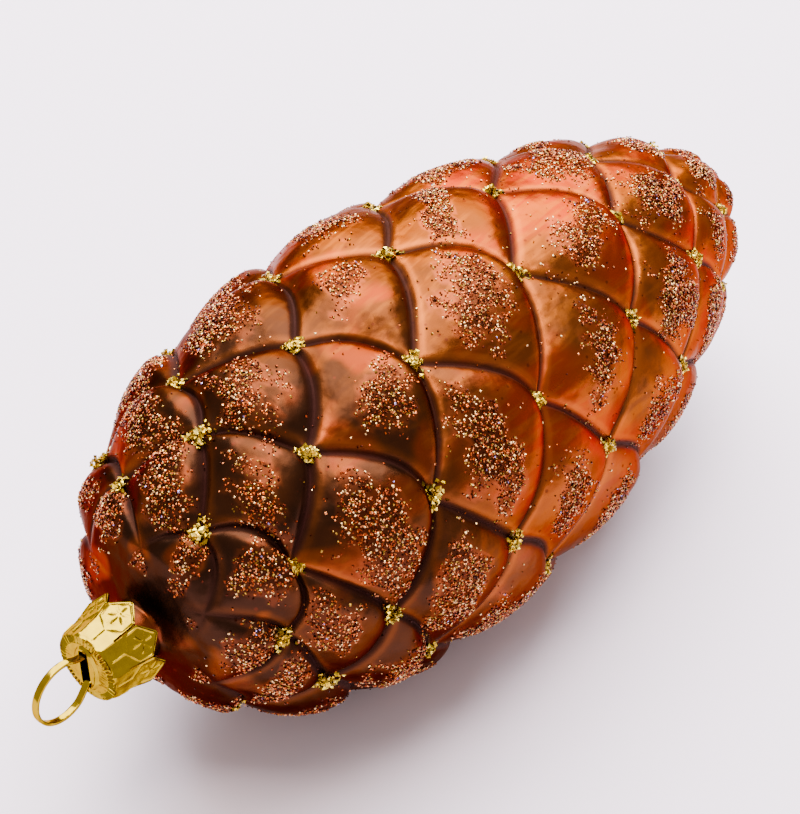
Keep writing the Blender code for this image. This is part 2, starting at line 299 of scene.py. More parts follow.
def body_profile():
    """The envelope from the neck's end to the tip, as distance along it, axial place and radius.

    The radius goes as t^a (1 - t)^b with t the fraction of the length, blended into the straight neck.
    """
    t = (1 - np.cos(np.linspace(0, math.pi, PROFILE_POINTS))) / 2
    peak = SHOULDER_POWER / (SHOULDER_POWER + TIP_POWER)
    highest = peak**SHOULDER_POWER * (1 - peak) ** TIP_POWER
    turned = BODY_RADIUS * t**SHOULDER_POWER * (1 - t) ** TIP_POWER / highest
    place = t * BODY_LENGTH
    radius = NECK_RADIUS + (turned - NECK_RADIUS) * smoothstep(place / SHOULDER_BLEND)
    place = np.concatenate([[-NECK_LENGTH], place])
    radius = np.concatenate([[NECK_RADIUS], radius])
    distance = np.concatenate([[0], np.cumsum(np.hypot(np.diff(place), np.diff(radius)))])
    return distance, place, radius


def fade(row):
    """How much of the scales' relief shows: none on the neck, all of it from the first row on."""
    return smoothstep((row + 1.5) / 1.6)


def scale_parts(row, column):
    """Fractions of a scale, from its hidden end at 0 to its free edge at 1, along its two directions."""
    across = np.stack([(row + column) / 2, (row - column) / 2])
    return across - np.floor(across + 1e-9)


def scale_height(part):
    """Height of the relief from 0 in a groove to 1 on a scale: a slow rise times a steep roll, two ways."""
    rise = 1 - (1 - np.clip(part / SCALE_RISE, 0, 1)) ** RISE_POWER
    roll = 1 - np.clip((part - 1 + SCALE_LIP) / SCALE_LIP, 0, 1) ** LIP_POWER
    return (rise * roll).prod(0)


def edge_bulge(part):
    """How far the scales' edges bulge towards the tip: a parabola along each, halved towards the middle."""
    arch = part * (1 - part)
    return 4 * (arch[1] * (1 - 2 * arch[0]) + arch[0] * (1 - 2 * arch[1]))


def groove_gaps(row, column):
    """Distances in metres to the nearest groove line in each of a scale's two directions.

    The fraction of a scale to the line is multiplied by the lattice's spacing across it, 2 l r / side,
    where l is a row's length, r a column's width and side their hypotenuse.
    """
    distance, place, radius = body_profile()
    first = np.interp(FIRST_ROW_DISTANCE, place, distance)
    span = distance[-1] - first
    phase = 2 * math.pi * row / TIP_ROW
    length = (span - ROW_CROWDING * 2 * math.pi * np.cos(phase)) / TIP_ROW
    arc = first + np.clip(span * row / TIP_ROW - ROW_CROWDING * np.sin(phase), -first, span)
    width = np.interp(arc, distance, radius) * math.pi / SCALES_PER_RING
    part = scale_parts(row, column)
    return np.minimum(part, 1 - part) * 2 * length * width / np.hypot(length, width)


def body_points(row, column, lift=0, detail=1):
    """Points of the glass at lattice places, raised by lift along the envelope's normal.

    A point's distance along the envelope goes evenly with its row, less a sine that crowds the rows at both
    ends, and its angle goes evenly with its column. Slow waves then move both, as a hand-blown mould does.
    Detail adds a channel with a bell-shaped section along each groove, a mound at each scale's tip and
    three slow sine waves over the blown surface.
    """
    distance, place, radius = body_profile()
    along = np.gradient(place, distance)
    outward = np.gradient(radius, distance)
    first = np.interp(FIRST_ROW_DISTANCE, place, distance)
    span = distance[-1] - first

    shown = fade(row)
    ends = shown * smoothstep((TIP_ROW - row) / 1.5)
    part = scale_parts(row, column)
    bent = row + EDGE_BULGE * edge_bulge(part) * ends
    turn = 2 * math.pi * column / (2 * SCALES_PER_RING)
    arc = span * bent / TIP_ROW - ROW_CROWDING * np.sin(2 * math.pi * bent / TIP_ROW)
    arc = arc - FIRST_ROWS_SHIFT * np.exp(-(((row - 1) / 2) ** 2)) * ends
    arc = arc + FIRST_ROWS_WAVE * np.cos(3 * turn - 1.6 * row - 2.5) * np.exp(-((row / 3) ** 2)) * ends
    arc = arc + ROWS_WAVE * np.sin(2 * turn + 2.8 * row) * ends
    twist = TWIST_WAVE * np.cos(math.pi * (row - 3) / 3) * np.exp(-row / 9) * shown
    sway = COLUMNS_WAVE * np.sin(3 * turn + 0.13 * row - 1.2) - SQUEEZE_WAVE * np.sin(turn)
    angle = FIRST_SCALE_ANGLE + turn + twist + sway * ends

    arc = first + np.clip(arc, -first, span)
    x, r = np.interp(arc, distance, place), np.interp(arc, distance, radius)
    nx, nr = -np.interp(arc, distance, outward), np.interp(arc, distance, along)
    size = np.hypot(nx, nr)
    depth = GROOVE_DEPTH * np.sqrt(r / BODY_RADIUS) * shown

    gaps = groove_gaps(row, column)
    channel = CHANNEL_DEPTH * np.exp(-((gaps.min(0) / CHANNEL_WIDTH) ** 2)) * ends
    mound = MOUND_HEIGHT * np.exp(-(gaps**2).sum(0) / MOUND_RADIUS**2) * ends * (row > -0.5)
    first_wave, second_wave, third_wave = (arc / length for length in UNEVENNESS_LENGTHS)
    waves = np.sin(first_wave + 2 * np.sin(3 * angle)) + np.sin(7 * angle + second_wave)
    waves = waves + np.sin(11 * angle - third_wave + 1)
    sunk = depth * (1 - scale_height(part)) + detail * (channel - mound - UNEVENNESS * waves * ends)
    sunk = (sunk - lift) / size
    return around_axis(SHOULDER_X + x - nx * sunk, np.maximum(r - nr * sunk, 0), angle)


def body_frame(row, column):
    """Points on the glass with their outward normals, from the differences over a small lattice step."""
    step = FRAME_STEP
    here = body_points(row, column)
    ahead = body_points(row + step, column) - body_points(row - step, column)
    aside = body_points(row, column + step) - body_points(row, column - step)
    normal = np.cross(ahead, aside)
    size = np.linalg.norm(normal, axis=-1, keepdims=True)
    normal = normal / np.maximum(size, 1e-12)
    out = here - np.array([0, 0, AXIS_HEIGHT])
    out[..., 0] = 0
    normal *= np.sign((normal * out).sum(-1, keepdims=True))
    return here, normal, size[..., 0] / (4 * step * step)


def staggered_rings(steps, last_row, crowding):
    """Rows and columns of the rings' points, each ring half a point step on from the last.

    The points lie on the scales' own grid, and are crowded towards the grooves by a sine.
    """
    index = np.arange(FIRST_MESH_ROW * steps, last_row * steps)[:, None]
    column = (2 * np.arange(SCALES_PER_RING * steps)[None, :] + index % 2) / steps
    row = np.broadcast_to(index / steps, column.shape)
    across = np.stack([(row + column) / 2, (row - column) / 2])
    across = across - crowding * np.sin(2 * math.pi * across) / (2 * math.pi)
    return across[0] + across[1], across[0] - across[1]


def staggered_faces(start, rings, points, pole):
    """Triangles between rings of points numbered from start, closed by a fan at the pole."""
    ring = np.arange(rings - 1)[:, None]
    j = np.arange(points)[None, :]
    after = (j + 1) % points
    this, above = start + ring * points, start + (ring + 1) * points
    odd = (ring % 2).astype(bool)
    low = np.stack([this + j, this + after, np.where(odd, above + after, above + j)], -1)
    high = np.stack([above + j, np.where(odd, this + j, this + after), above + after], -1)
    low, high = low.reshape(-1, 3), high.reshape(-1, 3)
    last = start + (rings - 1) * points
    fan = np.stack([last + j[0], last + after[0], np.full(points, pole)], -1)
    return np.concatenate([low, high, fan])


def band_faces(low, high):
    """Triangles between two closed rings of point numbers, where high has a whole multiple of low's."""
    ratio = len(high) // len(low)
    j = np.arange(len(high))
    fine = np.stack([low[((j + ratio // 2) // ratio) % len(low)], high[(j + 1) % len(high)], high[j]], -1)
    k = np.arange(len(low))
    turn = (k * ratio + ratio - ratio // 2) % len(high)
    coarse = np.stack([low[k], low[(k + 1) % len(low)], high[turn]], -1)
    return np.concatenate([fine, coarse])


def linear(hex_colour):
    """An sRGB hex colour as linear red, green, blue and alpha."""
    channels = np.array([int(hex_colour[i : i + 2], 16) for i in (1, 3, 5)]) / 255
    low, high = channels / 12.92, ((channels + 0.055) / 1.055) ** 2.4
    return (*np.where(channels <= 0.04045, low, high).tolist(), 1.0)


def add_node(tree, kind, inputs, **settings):
    """A node with its settings. An input is a value or the socket that feeds it."""
    node = tree.nodes.new(kind)
    for name, value in settings.items():
        setattr(node, name, value)
    for name, value in inputs.items():
        if isinstance(value, bpy.types.NodeSocket):
            tree.links.new(value, node.inputs[name])
        else:
            node.inputs[name].default_value = value
    return node


def new_material(name):
    """An empty Principled material: the material, its tree and its shader node."""
    material = bpy.data.materials.new(name)
    material.use_nodes = True
    return material, material.node_tree, material.node_tree.nodes["Principled BSDF"]


def add_piece(name, points, faces, material, slot, values=None, smooth=True):
    """A mesh object from point and face arrays, with values as float attributes of its points."""
    mesh = bpy.data.meshes.new(name)
    mesh.vertices.add(len(points))
    mesh.vertices.foreach_set("co", points.astype(np.float32).ravel())
    mesh.loops.add(faces.size)
    mesh.loops.foreach_set("vertex_index", faces.astype(np.int32).ravel())
    mesh.polygons.add(len(faces))
    mesh.polygons.foreach_set("loop_start", np.arange(0, faces.size, faces.shape[1], dtype=np.int32))
    mesh.update(calc_edges=True)
    mesh.polygons.foreach_set("use_smooth", np.full(len(faces), smooth))
    for key, value in (values or {}).items():
        attribute = mesh.attributes.new(key, "FLOAT", "POINT")
        attribute.data.foreach_set("value", value.astype(np.float32).ravel())
    mesh.materials.append(material)
    piece = bpy.data.objects.new(name, mesh)
    bpy.context.scene.collection.objects.link(piece)
    if slot:
        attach(piece, "root")
    return piece


def glass_values(row, column):
    """What the lacquer's colours follow.

    They are the closeness to a groove for the painted groove shade, the rim on a scale's hidden side for a
    painted highlight, the painted shade on its free side, the height of the relief, the row and the
    glitter's glue. The first three are bell curves.
    """
    gaps = groove_gaps(row, column)
    part = scale_parts(row, column)
    shown = fade(row) * smoothstep((TIP_ROW - row) / 1.5)
    # Bell curves for the painted shade along a groove, the painted highlight on the rim past it and the
    # painted shade on the free side.
    groove = np.exp(-((gaps.min(0) / GROOVE_SHADE_WIDTH) ** 2)) * shown
    hidden = np.where(part < 0.5, gaps, 1).min(0)
    rim = np.exp(-(((hidden - RIM_DISTANCE) / RIM_WIDTH) ** 2)) * shown
    free = np.where(part > 0.5, gaps, 1).min(0)
    shade = np.exp(-((free / SHADE_WIDTH) ** 2)) * shown
    values = {"groove": groove, "rim": rim, "shade": shade}
    return {**values, "top": scale_height(part), "row": row, "glue": patch_density(row, column)}


def glass_shell():
    """The blown shell: the fine outer face, the neck, its flat mouth and a plain inner face."""
    row, column = staggered_rings(FINE_STEPS, TIP_ROW, STEP_CROWDING)
    outer = body_points(row, column)
    outer[..., 2] = np.maximum(outer[..., 2], 0)
    rings, count = row.shape
    tip = around_axis(SHOULDER_X + BODY_LENGTH, 0, 0)

    in_row, in_column = staggered_rings(INNER_STEPS, LAST_INNER_ROW, 0)
    wall = WALL + (SHOULDER_WALL - WALL) * np.exp(-(((in_row - 1) / 1.5) ** 2))
    wall = np.where(in_row < -1, NECK_WALL, wall)
    inner = body_points(in_row, in_column, -wall, 0)
    inner[..., 2] = np.maximum(inner[..., 2], WALL)
    in_rings, in_count = in_row.shape
    in_tip = around_axis(SHOULDER_X + BODY_LENGTH - TIP_WALL, 0, 0)

    mouth_x = SHOULDER_X - NECK_LENGTH
    turns = [FIRST_SCALE_ANGLE + 2 * math.pi * np.arange(n) / n for n in (count, in_count)]
    mouth = around_axis(mouth_x, NECK_RADIUS, turns[0])
    in_mouth = around_axis(mouth_x, NECK_RADIUS - NECK_WALL, turns[1])

    parts = [outer.reshape(-1, 3), [tip], inner.reshape(-1, 3), [in_tip], mouth, in_mouth]
    starts = np.cumsum([0] + [len(part) for part in parts])
    out_ring, in_ring = starts[0] + np.arange(count), starts[2] + np.arange(in_count)
    mouth_ring, in_mouth_ring = starts[4] + np.arange(count), starts[5] + np.arange(in_count)
    faces = [
        staggered_faces(starts[0], rings, count, starts[1]),
        staggered_faces(starts[2], in_rings, in_count, starts[3])[:, ::-1],
        band_faces(mouth_ring, out_ring),
        band_faces(in_mouth_ring, in_ring)[:, ::-1],
        band_faces(in_mouth_ring, mouth_ring),
    ]
    rest = len(outer.reshape(-1, 3))
    values = {}
    for key, value in glass_values(row, column).items():
        values[key] = np.concatenate([value.ravel(), np.full(starts[-1] - rest, value[0, 0])])
        values[key][rest] = value[-1].mean()
    return np.concatenate(parts), np.concatenate(faces), values


def ragged(points):
    """A rough field of about -1 to 1 over the glass, from five sine waves with seeded directions."""
    rng = np.random.default_rng(SEED)
    field = 0
    for length in RAGGED_LENGTHS:
        wave = rng.normal(size=3)
        wave *= 2 * math.pi / length / np.linalg.norm(wave)
        field = field + np.sin(points @ wave + rng.uniform(0, 6.28)) * (length / RAGGED_LENGTHS[0]) ** 0.5
    return field / 2.2


def patch_density(row, column):
    """How thickly the glitter lies, from 0 to 1: an oval for each scale with a ragged edge.

    Each scale draws its oval's place, lengths, turn and strength from a table seeded once.
    """
    rng = np.random.default_rng(SEED + 1)
    shape = (TIP_ROW + 8, 2 * SCALES_PER_RING)
    draw = {key: rng.uniform(-1, 1, shape) for key in ("a", "b", "long", "short", "turn", "strength")}
    across = np.stack([(row + column) / 2, (row - column) / 2])
    base = np.floor(across + 1e-9)
    key = ((base[0] + base[1]).astype(int) + 4, (base[0] - base[1]).astype(int) % shape[1])
    ring = base[0] + base[1]
    centre = PATCH_CENTRE + np.where(ring < -1.5, 0.24, np.where(ring < -0.5, 0.1, 0))
    a = across[0] - base[0] - centre - PATCH_JITTER * draw["a"][key]
    b = across[1] - base[1] - centre - PATCH_JITTER * draw["b"][key]
    turn = math.pi / 4 * (1 + draw["turn"][key]) + math.pi / 4
    wider = np.where(ring < 1.5, PATCH_WIDER_NEAR_CAP, 0)
    long = wider + PATCH_SIZES[0] + PATCH_SIZE_JITTERS[0] * draw["long"][key]
    short = wider + PATCH_SIZES[1] + PATCH_SIZE_JITTERS[1] * draw["short"][key]
    along, aside = a * np.cos(turn) + b * np.sin(turn), b * np.cos(turn) - a * np.sin(turn)
    oval = 1 - np.hypot(along / long, aside / short)
    rough = ragged(body_points(row, column))
    strength = 0.8 + 0.2 * draw["strength"][key]
    return strength * smoothstep(1.35 * oval + 0.6 * rough + 0.33) * smoothstep((row + 1.5) / 0.4)


def chips(rng, places, normals, radius, spread):
    """Grains as flattened octahedra of eight faces, each tilted at random from the surface's normal."""
    count = len(places)
    up = normals + spread * rng.normal(size=(count, 3))
    up /= np.linalg.norm(up, axis=1, keepdims=True)
    side = np.cross(up, rng.normal(size=(count, 3)))
    side /= np.linalg.norm(side, axis=1, keepdims=True)
    front = np.cross(up, side)
    size = radius * rng.uniform(0.7, 1.25, (count, 1))
    width = size * rng.uniform(0.75, 1, (count, 1))
    thick = size * GRAIN_FLATNESS
    corners = [side * size, front * width, -side * size, -front * width, up * thick, -up * thick]
    points = places[:, None, :] + np.stack(corners, 1)
    rim = np.array([[0, 1, 4], [1, 2, 4], [2, 3, 4], [3, 0, 4], [1, 0, 5], [2, 1, 5], [3, 2, 5], [0, 3, 5]])
    faces = (6 * np.arange(count)[:, None, None] + rim).reshape(-1, 3)
    return points.reshape(-1, 3), faces, np.repeat(rng.uniform(0, 1, count), 6)


def glitter():
    """Places and normals of grains scattered evenly over the glass, with the generator that drew them.

    Candidates are uniform on the lattice, so each is kept in proportion to the area of its cell and to the
    patches' density, with a few strays.
    """
    rng = np.random.default_rng(SEED + 2)
    count = GRAIN_CANDIDATES
    row = rng.uniform(-1.5, TIP_ROW - 0.1, count)
    column = rng.uniform(0, 2 * SCALES_PER_RING, count)
    places, normals, area = body_frame(row, column)
    wanted = GRAINS_PER_AREA * area * (TIP_ROW + 1.4) * 2 * SCALES_PER_RING / count
    density = np.maximum(patch_density(row, column), STRAY_SHARE * fade(row))
    keep = (rng.uniform(0, 1, count) < wanted * density) & (places[:, 2] > CLEAR_OF_FLOOR)
    places = places + normals * rng.uniform(*GRAIN_LIFTS, count)[:, None]
    return rng, places[keep], normals[keep]


def gold_dabs():
    """A heap of gold grains on each scale's tip, longer along the cone than across it.

    The heap's plan is a bell curve of the grains, and its height falls off as a bell curve from the tip.
    """
    rng = np.random.default_rng(SEED + 3)
    row, column = np.meshgrid(np.arange(0, TIP_ROW), np.arange(0, 2 * SCALES_PER_RING), indexing="ij")
    even = (row + column) % 2 == 0
    row, column = row[even].astype(float), column[even].astype(float)
    places, normals, _ = body_frame(row, column)
    ahead = body_points(row + 0.05, column) - body_points(row - 0.05, column)
    ahead /= np.linalg.norm(ahead, axis=1, keepdims=True)
    aside = np.cross(normals, ahead)
    size = rng.uniform(0.75, 1.2, (len(row), 1)) * np.where(row > 11, 0.7, 1)[:, None]
    lean = rng.normal(0, DAB_LEAN, (len(row), 1))
    places, normals, ahead, aside, size, lean = (
        np.repeat(value, DAB_GRAINS, axis=0) for value in (places, normals, ahead, aside, size, lean)
    )
    offset = rng.normal(size=(2, len(places), 1))
    along, across = DAB_SHAPE[0] * offset[0], DAB_SHAPE[1] * offset[1] + lean * offset[0]
    heap = np.exp(-(offset**2).sum(0) / 2)
    lift = rng.uniform(-0.4, 1.7, (len(places), 1)) * heap
    places = places + size * DAB_SPREAD * (along * ahead + across * aside + lift * normals)
    keep = places[:, 2] > CLEAR_OF_FLOOR
    return chips(rng, places[keep], normals[keep], DAB_GRAIN_RADIUS, DAB_GRAIN_TILT)


def end_face_ring(half_sizes, squareness, depth, angle):
    """A ring of the cap's end face: a superellipse along the slot, which is upright."""
    half_length, half_width = half_sizes
    bend = 2 / squareness
    up = half_length * np.sign(np.cos(angle)) * np.abs(np.cos(angle)) ** bend
    side = half_width * np.sign(np.sin(angle)) * np.abs(np.sin(angle)) ** bend
    return np.stack([CAP_X + depth + 0 * angle, -side, AXIS_HEIGHT + up], -1)


def line_gap(across, depth, start, end):
    """Distance of facet places from a straight line between two (across, depth) points."""
    start, end = np.array(start), np.array(end)
    step = end - start
    share = ((across - start[0]) * step[0] + (depth - start[1]) * step[1]) / (step @ step)
    share = np.clip(share, 0, 1)
    return np.hypot(across - start[0] - share * step[0], depth - start[1] - share * step[1])


def petal_relief(across, depth):
    """Height of the stamped lines on a petal: the hexagon, its stem, the edge folds and the star."""
    lines = []
    for sign in (-1, 1):
        for outline in (HEXAGON, EDGE_FOLD, STEM):
            corners = [(sign * x * MM, y * MM) for x, y in outline]
            lines += [line_gap(across, depth, *pair) for pair in zip(corners, corners[1:])]
    height = np.exp(-((np.min(lines, 0) / LINE_WIDTH) ** 2))
    spokes = []
    for turn in np.arange(STAR_SPOKES) * 2 * math.pi / STAR_SPOKES:
        heading = np.array([math.sin(turn), math.cos(turn)])
        centre = np.array([0, STAR_CENTRE_DEPTH])
        ends = (centre + STAR_INNER_RADIUS * heading, centre + STAR_OUTER_RADIUS * heading)
        spokes.append(line_gap(across, depth, *ends))
    star = np.exp(-((np.min(spokes, 0) / (1.1 * LINE_WIDTH)) ** 2))
    return LINE_HEIGHT * np.maximum(height, star)


def cap_surface(steps, relief):
    """The cap's outer face as rings of columns, eight petals wide: slot, boss, fluted ring, rim, facets.

    The facets are flat and part into pointed petals. Relief, 0 or 1, scales the flutes, which are a cosine
    round the axis, and the stamped lines, which stand out along the facets' normals.
    """
    even = np.linspace(-1, 1, steps + 1)
    offset = np.arctan(even * math.tan(math.pi / PETALS))
    middle = PETAL_ANGLE + 2 * math.pi * np.arange(PETALS)[:, None] / PETALS
    angle = middle + offset
    rings = [
        end_face_ring(SLOT_HALF_SIZES, SLOT_SQUARENESS, -BOSS_HEIGHT, angle),
        end_face_ring(BOSS_CROWN_HALF_SIZES, BOSS_CROWN_SQUARENESS, -BOSS_CROWN_HEIGHT, angle),
        end_face_ring(BOSS_TOP_HALF_SIZES, 2, -BOSS_HEIGHT, angle),
        end_face_ring(np.mean([BOSS_TOP_HALF_SIZES, BOSS_FOOT_HALF_SIZES], 0), 2, -BOSS_HEIGHT / 2, angle),
        end_face_ring(BOSS_FOOT_HALF_SIZES, 2, 0, angle),
    ]
    for radius in np.linspace(FLUTE_INNER_RADIUS, CAP_RIM_RADIUS, FLUTE_RINGS):
        fall = CAP_RIM_FALL * smoothstep((radius - CAP_RING_RADIUS) / (CAP_RIM_RADIUS - CAP_RING_RADIUS))
        inward = (radius - FLUTE_INNER_RADIUS) / FLUTE_FADE
        outward = (CAP_RIM_RADIUS + FLUTE_FADE / 4 - radius) / FLUTE_FADE
        flute = relief * FLUTE_HEIGHT * smoothstep(inward) * smoothstep(outward)
        flute = flute * (np.cos(FLUTES * (angle - PETAL_ANGLE)) - 0.4)
        rings.append(end_face_ring((radius, radius), 2, fall - flute, angle))
    peak = (1 - np.abs(even)) * (PETAL_TIP_DEPTH - PETAL_SHOULDER_DEPTH)
    end = PETAL_SHOULDER_DEPTH + np.minimum(peak, PETAL_TIP_CUT * peak.max())
    skirt = [np.full_like(even, depth) for depth in np.linspace(SKIRT_DEPTHS[0], SLIT_DEPTH, JOINED_RINGS)]
    skirt += [SLIT_DEPTH + (end - SLIT_DEPTH) * part for part in np.linspace(0, 1, PARTED_RINGS + 1)[1:]]
    out = np.stack([0 * middle, -np.sin(middle), np.cos(middle)], -1)
    for depth in skirt:
        corner = np.interp(depth, SKIRT_DEPTHS, SKIRT_CORNER_RADII)
        flat = corner * math.cos(math.pi / PETALS)
        across = even * flat * math.tan(math.pi / PETALS)
        if depth.max() > SLIT_DEPTH * 1.0001:
            across = across * (1 - SLIT_GAP / (2 * across.max()))
        swing = np.arctan2(across, flat)
        ring = around_axis(CAP_X + depth, flat / np.cos(swing), middle + swing)
        rings.append(ring + out * relief * petal_relief(across, depth)[None, :, None])
    return np.stack(rings)


def stamped_cap():
    """The stamped sheet: its embossed outer face, a plain inner face a sheet's thickness in, and its edges.

    The inner points lie along the plain surface's normals, which are the sums of the faces' normals.
    """
    points, plain = (cap_surface(CAP_STEPS, relief) for relief in (1, 0))
    joined = len(points) - PARTED_RINGS
    numbers = np.arange(points[..., 0].size).reshape(points.shape[:3])
    numbers[:joined, :, -1] = np.roll(numbers[:joined, :, 0], -1, axis=1)
    low, high = numbers[:-1], numbers[1:]
    faces = np.stack([low[..., :-1], high[..., :-1], high[..., 1:], low[..., 1:]], -1).reshape(-1, 4)
    used, faces = np.unique(faces[:, ::-1], return_inverse=True)
    points, plain, faces = points.reshape(-1, 3)[used], plain.reshape(-1, 3)[used], faces.reshape(-1, 4)

    corners = plain[faces]
    normal = np.zeros_like(plain)
    turned = np.cross(corners[:, 2] - corners[:, 0], corners[:, 3] - corners[:, 1])
    np.add.at(normal, faces, turned[:, None])
    normal /= np.linalg.norm(normal, axis=1, keepdims=True)
    count = len(points)
    edges = np.stack([faces, np.roll(faces, -1, axis=1)], -1).reshape(-1, 2)
    free = edges[~np.isin(edges @ (count, 1), edges @ (1, count))]
    sides = np.stack([free[:, 1], free[:, 0], free[:, 0] + count, free[:, 1] + count], 1)
    faces = np.concatenate([faces, faces[:, ::-1] + count, sides])
    return np.concatenate([points, plain - CAP_SHEET * normal]), faces


def hermite(start, end, leave, arrive, count):
    """Points of a cubic from start to end with the given end directions."""
    t = np.linspace(0, 1, count)[:, None]
    start, end, leave, arrive = (np.array(value, float) for value in (start, end, leave, arrive))
    return (
        start * (2 * t**3 - 3 * t**2 + 1)
        + end * (3 * t**2 - 2 * t**3)
        + leave * (t**3 - 2 * t**2 + t)
        + arrive * (t**3 - t**2)
    )


def strip_loop():
    """The hanging strip: a rounded oblong section carried along leg, shank, loop, shank and leg."""
    sweep = np.linspace(LOOP_OPEN_ANGLE, 2 * math.pi - LOOP_OPEN_ANGLE, LOOP_POINTS)
    loop = LOOP_RADIUS * np.stack([np.cos(sweep), np.sin(sweep)], 1) - (LOOP_CENTRE_OUT, LOOP_DROP)
    sides = []
    for sign, corner in ((1, loop[0]), (-1, loop[-1])):
        heading = (SHANK_PULL * math.sin(LOOP_OPEN_ANGLE), -sign * SHANK_PULL * math.cos(LOOP_OPEN_ANGLE))
        foot = (CAP_SHEET, sign * SHANK_OFFSET)
        shank = hermite(corner, foot, heading, (SHANK_PULL, 0), SHANK_POINTS)[1:]
        leg = np.linspace(shank[-1], (LEG_DEPTH, sign * LEG_OFFSET), LEG_POINTS)[1:]
        sides.append(np.concatenate([shank, leg]))
    path = np.concatenate([sides[0][::-1], loop, sides[1]])
    heading = np.gradient(path, axis=0)
    heading /= np.linalg.norm(heading, axis=1)[:, None]
    turn = 2 * math.pi * (np.arange(STRIP_SIDES) + 0.5) / STRIP_SIDES
    thick = STRIP_THICKNESS / 2 * np.sign(np.cos(turn)) * np.abs(np.cos(turn)) ** STRIP_EDGE_BEND
    wide = STRIP_WIDTH / 2 * np.sign(np.sin(turn)) * np.abs(np.sin(turn)) ** STRIP_EDGE_BEND
    x = CAP_X + path[:, :1] - heading[:, 1:] * thick
    z = AXIS_HEIGHT + path[:, 1:] + heading[:, :1] * thick
    y = np.broadcast_to(wide, x.shape)
    points = np.stack([x, y, z], -1)
    middles = points[[0, -1]].mean(1)
    this = np.arange(len(path) - 1)[:, None] * STRIP_SIDES
    above = this + STRIP_SIDES
    j = np.arange(STRIP_SIDES)
    after = (j + 1) % STRIP_SIDES
    last, total = (len(path) - 1) * STRIP_SIDES, len(path) * STRIP_SIDES
    faces = [
        np.stack([this + j, above + j, above + after], -1),
        np.stack([this + j, above + after, this + after], -1),
        np.stack([j, after, np.full(STRIP_SIDES, total)], -1),
        np.stack([last + after, last + j, np.full(STRIP_SIDES, total + 1)], -1),
    ]
    faces = np.concatenate([part.reshape(-1, 3) for part in faces])
    return np.concatenate([points.reshape(-1, 3), middles]), faces


def copper_lacquer():
    """Satin copper lacquer sprayed on blown glass: metal dust in a reddish varnish.

    To the eye it is copper brown, hot orange where the varnish lies thick, darker on top and duller below
    as painted shade, and dark umber at the shoulder, with faint strokes along the cone, fine dark specks,
    slow ripples, a painted highlight on each scale's rim past a groove and a dark line of painted shade in
    each groove. Each coat covers the last one by its ramps, multiplied in turn, or raised to the larger
    where a ramp raises the cover.
    """
    material, tree, shader = new_material("satin_copper_lacquer")
    place = add_node(tree, "ShaderNodeTexCoord", {}).outputs["Object"]
    drawn = add_node(tree, "ShaderNodeMapping", {"Vector": place, "Scale": (STROKE_SHORTNESS, 1, 1)})
    values = {"height": add_node(tree, "ShaderNodeSeparateXYZ", {0: place}).outputs["Z"]}
    for name in ("groove", "rim", "shade", "top", "row", "glue"):
        values[name] = add_node(tree, "ShaderNodeAttribute", {}, attribute_name=name).outputs["Fac"]
    for name, (size, detail) in LACQUER_PATTERNS.items():
        vector = drawn.outputs[0] if name == "stroke" else place
        pattern = {"Vector": vector, "Scale": 1 / size, "Detail": detail}
        values[name] = add_node(tree, "ShaderNodeTexNoise", pattern).outputs["Fac"]
    speck = add_node(tree, "ShaderNodeTexVoronoi", {"Vector": place, "Scale": 1 / SPECK_SPACING})
    values["speck"] = speck.outputs["Distance"]

    colour = linear(LACQUER_COLOUR)
    for coat, hex_colour, ramps in LACQUER_COATS:
        cover = None
        for join, name, curve, start, end, low, high in ramps:
            ramp = add_node(
                tree,
                "ShaderNodeMapRange",
                {"Value": values[name], "From Min": start, "From Max": end, "To Min": low, "To Max": high},
                interpolation_type=curve,
            )
            if cover is not None:
                ramp = add_node(tree, "ShaderNodeMath", {0: cover, 1: ramp.outputs[0]}, operation=join)
            cover = ramp.outputs[0]
        values[coat] = cover
        layers = {0: cover, 6: colour, 7: linear(hex_colour)}
        colour = add_node(tree, "ShaderNodeMix", layers, data_type="RGBA").outputs[2]

    rough = add_node(
        tree,
        "ShaderNodeMapRange",
        {"Value": values["cloud"], "From Min": 0.3, "From Max": 0.7, "To Min": 0.27, "To Max": 0.38},
    )
    rough = add_node(
        tree,
        "ShaderNodeMath",
        {0: values["groove"], 1: GROOVE_ROUGHNESS, 2: rough.outputs[0]},
        operation="MULTIPLY_ADD",
    )
    metal = add_node(
        tree,
        "ShaderNodeMapRange",
        {"Value": values["groove"], "To Min": 1.0, "To Max": GROOVE_METAL},
        interpolation_type="SMOOTHSTEP",
    )
    waved = add_node(tree, "ShaderNodeBump", {"Height": values["ripple"], "Distance": RIPPLE_HEIGHT})
    bump = add_node(
        tree,
        "ShaderNodeBump",
        {"Height": values["fine"], "Distance": 0.02 * MM, "Strength": 0.6, "Normal": waved.outputs[0]},
    )
    tree.links.new(colour, shader.inputs["Base Color"])
    tree.links.new(metal.outputs[0], shader.inputs["Metallic"])
    tree.links.new(rough.outputs[0], shader.inputs["Roughness"])
    tree.links.new(bump.outputs[0], shader.inputs["Normal"])
    shader.inputs["Specular Tint"].default_value = linear("#BFA096")
    shader.inputs["Specular IOR Level"].default_value = 0.12
    return material


def foil_grains(name, colours, roughness):
    """Cut foil grains: bright metal facets, each grain in one of the mixture's colours."""
    material, tree, shader = new_material(name)
    tone = add_node(tree, "ShaderNodeAttribute", {}, attribute_name="tone").outputs["Fac"]
    ramp = add_node(tree, "ShaderNodeValToRGB", {"Fac": tone})
    ramp.color_ramp.interpolation = "CONSTANT"
    stops = ramp.color_ramp.elements
    while len(stops) < len(colours):
        stops.new(0.5)
    for stop, (start, colour) in zip(stops, colours):
        stop.position = start
        stop.color = linear(colour)
    tree.links.new(ramp.outputs["Color"], shader.inputs["Base Color"])
    shader.inputs["Metallic"].default_value = 1.0
    shader.inputs["Roughness"].default_value = roughness
    return material


